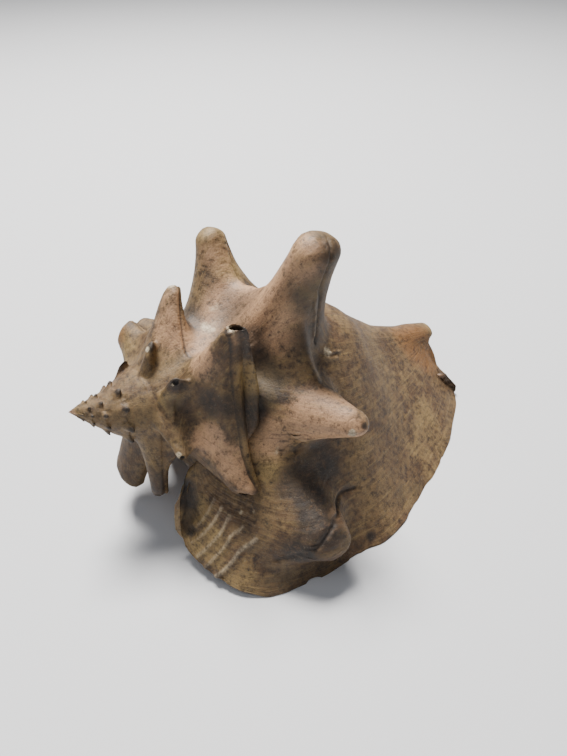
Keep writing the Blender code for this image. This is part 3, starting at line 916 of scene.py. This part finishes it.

# The look of the shell: chalky, sun-bleached and stained. Worn ridges are pinkish tan, the ground is olive
# and dark brown, creases are painted dark as painted shade, the grime patches also paint shadows cast by the
# horns, and the whole is freckled. Streaks follow the growth lines.

BROWN = (0.118, 0.063, 0.028, 1)
OLIVE = (0.250, 0.158, 0.066, 1)
PINK_TAN = (0.740, 0.430, 0.235, 1)
OCHRE = (0.470, 0.318, 0.122, 1)
RUST = (0.300, 0.130, 0.038, 1)
# Dark brown for grime, freckles and seams, and for the painted shade in creases and painted shadows.
GRIME_AND_SHADE = (0.028, 0.019, 0.015, 1)
CHALK = (0.66, 0.55, 0.38, 1)
NACRE = (0.42, 0.27, 0.19, 1)
# Near black painted shade for inside the open spine tips.
HOLE_SHADE = (0.018, 0.012, 0.009, 1)
BLOTCH_SCALE = 55.0
CLOUD_SCALE = 140.0
MOTTLE_SCALE = 420.0
GRAIN_SCALE = 1500.0
STREAKS_ROUND = 300.0
STREAKS_DOWN = 5.0
BUMP_STRENGTH = 0.55
BUMP_HEIGHT = 0.0006
WEAR_SCALE = 0.0011
WEAR_ROUNDS = 4
SOFTENING_ROUNDS = 2

shell_paint = bpy.data.materials.new("weathered shell")
shell_paint.use_nodes = True
shader = shell_paint.node_tree.nodes["Principled BSDF"]
paint = Field(shell_paint.node_tree)


def mixed(factor, first, second, blend="MIX"):
    """Two colours mixed by a factor."""
    settings = {"data_type": "RGBA", "blend_type": blend}
    return paint.node("ShaderNodeMix", settings, {0: factor, 6: first, 7: second}, 2)


def kept(name):
    """A number kept on the shell's surface."""
    return paint.node("ShaderNodeAttribute", {"attribute_name": name}, {}, 2)


place_on = paint.node("ShaderNodeTexCoord", {}, {}, "Object")
grown = paint.node("ShaderNodeUVMap", {"uv_map": "growth"})
grown_part = [paint.node("ShaderNodeSeparateXYZ", {}, {"Vector": grown}, axis) for axis in range(2)]
blotch = paint.noise(place_on, BLOTCH_SCALE, 4.0, 0.6)
cloud = paint.noise(place_on, CLOUD_SCALE, 5.0, 0.65)
mottle = paint.noise(place_on, MOTTLE_SCALE, 4.0, 0.7)
grain = paint.noise(place_on, GRAIN_SCALE, 2.0, 0.7)
streaked = paint.vector(grown_part[0] * STREAKS_ROUND, grown_part[1] * STREAKS_DOWN, 0.0)
growth_lines = paint.noise(streaked, 1.0, 4.0, 0.65)
broken = (cloud - 0.5) * 0.9 + (mottle - 0.5) * 0.7

knob_dark = kept("raised").rise(0.35, 0.8) * (1 - kept("whorl").rise(0.013, 0.020))
lined = kept("carved") * 1000.0 + broken * 0.3

# The layers lie over brown and olive, each where its mask says: mask, strength, colour.
layers = [
    ((kept("ochre") + broken * 0.9).rise(0.25, 0.9), 0.80, OCHRE),
    ((kept("worn") + broken * 0.8).rise(0.25, 0.9), 0.85, PINK_TAN),
    ((kept("rust") + broken * 0.8).rise(0.3, 0.9), 0.80, RUST),
    (growth_lines.rise(0.50, 0.72), 0.40, OCHRE),
    ((1 - growth_lines).rise(0.50, 0.72), 0.50, BROWN),
    ((kept("ridge") + broken * 0.5).rise(0.30, 1.0), 0.45, OCHRE),
    # Grime patches: dirt, and painted shadow cast by the horns.
    ((kept("grime") + broken).rise(0.25, 0.95), 0.85, GRIME_AND_SHADE),
    (mottle.rise(0.50, 0.68), 0.55, BROWN),
    (grain.rise(0.52, 0.68), 0.45, GRIME_AND_SHADE),
    ((1 - grain).rise(0.58, 0.76), 0.40, CHALK),
    (knob_dark, 0.85, GRIME_AND_SHADE),
    (lined.rise(0.25, 0.85), 0.42, CHALK),
    ((0 - lined).rise(0.2, 0.8), 0.65, GRIME_AND_SHADE),
    # Painted shade: the creases are darkened.
    ((kept("crease") + broken * 0.3).rise(0.15, 0.8), 0.75, GRIME_AND_SHADE),
    (kept("seam").rise(0.45, 0.95), 0.60, GRIME_AND_SHADE),
    ((kept("chalk") + broken).rise(0.35, 0.75), 0.85, CHALK),
    # Painted shade: near black inside the open spine tips.
    (kept("hollow").rise(0.15, 0.7), 0.95, HOLE_SHADE),
    (kept("inside").rise(0.3, 0.9), 1.00, mixed(cloud.rise(0.3, 0.7), NACRE, PINK_TAN)),
]
base = mixed((blotch + broken).rise(0.32, 0.72), BROWN, OLIVE)
for mask, strength, colour in layers:
    base = mixed(mask * strength, base, colour)
uneven = 0.70 + (mottle - 0.5) * 1.9 + (grain - 0.5) * 1.5
base = paint.node("ShaderNodeVectorMath", {"operation": "SCALE"}, {"Vector": base, "Scale": uneven})
shell_paint.node_tree.links.new(base.socket, shader.inputs["Base Color"])
roughness = 0.50 + mottle * 0.30 - kept("worn") * 0.08 - kept("inside") * 0.18
shell_paint.node_tree.links.new(roughness.socket, shader.inputs["Roughness"])
fine = mottle * 0.5 + grain * 0.35 + growth_lines * 0.5
bump_sockets = {"Height": fine, "Strength": BUMP_STRENGTH, "Distance": BUMP_HEIGHT}
bumped = paint.node("ShaderNodeBump", {}, bump_sockets)
shell_paint.node_tree.links.new(bumped.socket, shader.inputs["Normal"])

# The relief is applied once, and the skin is left as one plain closed mesh inside its box.
shell = bpy.data.objects.new("shell_skin", skin_mesh)
bpy.context.collection.objects.link(shell)
wear = shell.modifiers.new("worn relief", "NODES")
wear.node_group = relief_tree
for item in relief_tree.interface.items_tree:
    if item.item_type == "SOCKET" and item.in_out == "INPUT":
        if item.name in RELIEF_SIZES:
            wear[item.identifier] = RELIEF_SIZES[item.name]
        elif item.name == "Material":
            wear[item.identifier] = shell_paint
graph = bpy.context.evaluated_depsgraph_get()
worn_mesh = bpy.data.meshes.new_from_object(shell.evaluated_get(graph), depsgraph=graph)
shell.modifiers.clear()
shell.data = worn_mesh
shape = bmesh.new()
shape.from_mesh(worn_mesh)
bmesh.ops.remove_doubles(shape, verts=shape.verts, dist=WELD)
bmesh.ops.holes_fill(shape, edges=[edge for edge in shape.edges if edge.is_boundary], sides=0)
bmesh.ops.collapse(shape, edges=[edge for edge in shape.edges if edge.is_boundary])
bmesh.ops.recalc_face_normals(shape, faces=shape.faces)
for vertex in shape.verts:
    vertex.co = Vector(np.clip(vertex.co, low, high))
for face in shape.faces:
    face.smooth = True
shape.to_mesh(worn_mesh)
shape.free()


def averaged(values, ends, count):
    """Each vertex's mean over the vertices it shares an edge with."""
    total = np.zeros_like(values)
    np.add.at(total, ends[:, 0], values[ends[:, 1]])
    np.add.at(total, ends[:, 1], values[ends[:, 0]])
    return total / np.maximum(count, 1).reshape(-1, *[1] * (values.ndim - 1))


# Ridges stand proud of their surroundings and creases lie below them: ridges show as lighter ochre wear, and
# creases are painted darker as painted shade.
corners = np.empty(len(worn_mesh.vertices) * 3)
worn_mesh.vertices.foreach_get("co", corners)
corners = corners.reshape(-1, 3)
out_of = np.array([vertex.normal for vertex in worn_mesh.vertices])
edge_ends = np.empty(len(worn_mesh.edges) * 2, int)
worn_mesh.edges.foreach_get("vertices", edge_ends)
edge_ends = edge_ends.reshape(-1, 2)
touching = np.bincount(edge_ends.ravel(), minlength=len(corners))
spread = corners
for _ in range(WEAR_ROUNDS):
    spread = averaged(spread, edge_ends, touching)
bend = ((corners - spread) * out_of).sum(-1) / WEAR_SCALE
for _ in range(SOFTENING_ROUNDS):
    bend = averaged(bend, edge_ends, touching)
keep_on_mesh(worn_mesh, "ridge", np.clip(bend, 0, 1))
# The crease mask darkens the concave places with painted shade.
keep_on_mesh(worn_mesh, "crease", np.clip(-bend, 0, 1))
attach(shell, "root")
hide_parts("shell")

# The counter that it lies on: a plain, pale, matt sheet, wide enough to fill the view. It is the stage and no
# part of the shell.

COUNTER_HALF = 3.0
COUNTER_GREY = (0.66, 0.67, 0.69, 1)
COUNTER_ROUGHNESS = 0.7

floor_mesh = bpy.data.meshes.new("counter")
floor_shape = bmesh.new()
bmesh.ops.create_grid(floor_shape, x_segments=1, y_segments=1, size=COUNTER_HALF)
floor_shape.to_mesh(floor_mesh)
floor_shape.free()
counter = bpy.data.objects.new("counter", floor_mesh)
bpy.context.collection.objects.link(counter)
counter_paint = bpy.data.materials.new("counter")
counter_paint.use_nodes = True
counter_shader = counter_paint.node_tree.nodes["Principled BSDF"]
counter_shader.inputs["Base Color"].default_value = COUNTER_GREY
counter_shader.inputs["Roughness"].default_value = COUNTER_ROUGHNESS
floor_mesh.materials.append(counter_paint)

# Soft light: a window high up behind the shell, a weak pale ceiling on its left, and a little cool light
# from all sides.

WINDOW_WARM = (1.0, 0.97, 0.93)
CEILING_COOL = (0.95, 0.97, 1.0)
ROOM_COOL = (0.85, 0.9, 1.0, 1)
ROOM_STRENGTH = 0.17


def soft_light(name, place, aim, size, power, colour):
    """A square of soft light at a place, aimed at a point."""
    lamp = bpy.data.lights.new(name, "AREA")
    lamp.shape = "SQUARE"
    lamp.size = size
    lamp.energy = power
    lamp.color = colour
    holder = bpy.data.objects.new(name, lamp)
    holder.location = place
    holder.rotation_euler = (Vector(aim) - Vector(place)).to_track_quat("-Z", "Y").to_euler()
    bpy.context.collection.objects.link(holder)


soft_light("window", place=(0.12, 0.55, 1.20), aim=(0, 0, 0.03), size=0.42, power=52.0, colour=WINDOW_WARM)
soft_light("ceiling", place=(-0.7, -0.1, 1.5), aim=(0, 0, 0), size=1.2, power=5.0, colour=CEILING_COOL)
world = bpy.data.worlds.new("room")
world.use_nodes = True
world.node_tree.nodes["Background"].inputs["Color"].default_value = ROOM_COOL
world.node_tree.nodes["Background"].inputs["Strength"].default_value = ROOM_STRENGTH
bpy.context.scene.world = world

# The camera: held a short way off and looking down past the spire. Its place is measured from the tip of the
# spire, in lengths of CAMERA_REACH.

CAMERA_REACH = 0.19
CAMERA_OFFSET = (-0.0381, -0.7859, 0.7)
CAMERA_PITCH = 42.0
CAMERA_YAW = 32.4
SENSOR_HEIGHT = 24.0
FOCAL_LENGTH = 17.33
NEAREST = 0.01
apex_place = Vector((*(standing(np.zeros((1, 3)))[0][:2] + middle[:2]), APEX_HEIGHT))
camera_data = bpy.data.cameras.new("camera")
camera_data.sensor_fit = "VERTICAL"
camera_data.sensor_height = SENSOR_HEIGHT
camera_data.lens = FOCAL_LENGTH
camera_data.clip_start = NEAREST
camera = bpy.data.objects.new("camera", camera_data)
camera.location = apex_place + Vector(CAMERA_OFFSET) * CAMERA_REACH
camera.rotation_euler = (math.radians(90 - CAMERA_PITCH), 0, math.radians(-CAMERA_YAW))
bpy.context.collection.objects.link(camera)
bpy.context.scene.camera = camera
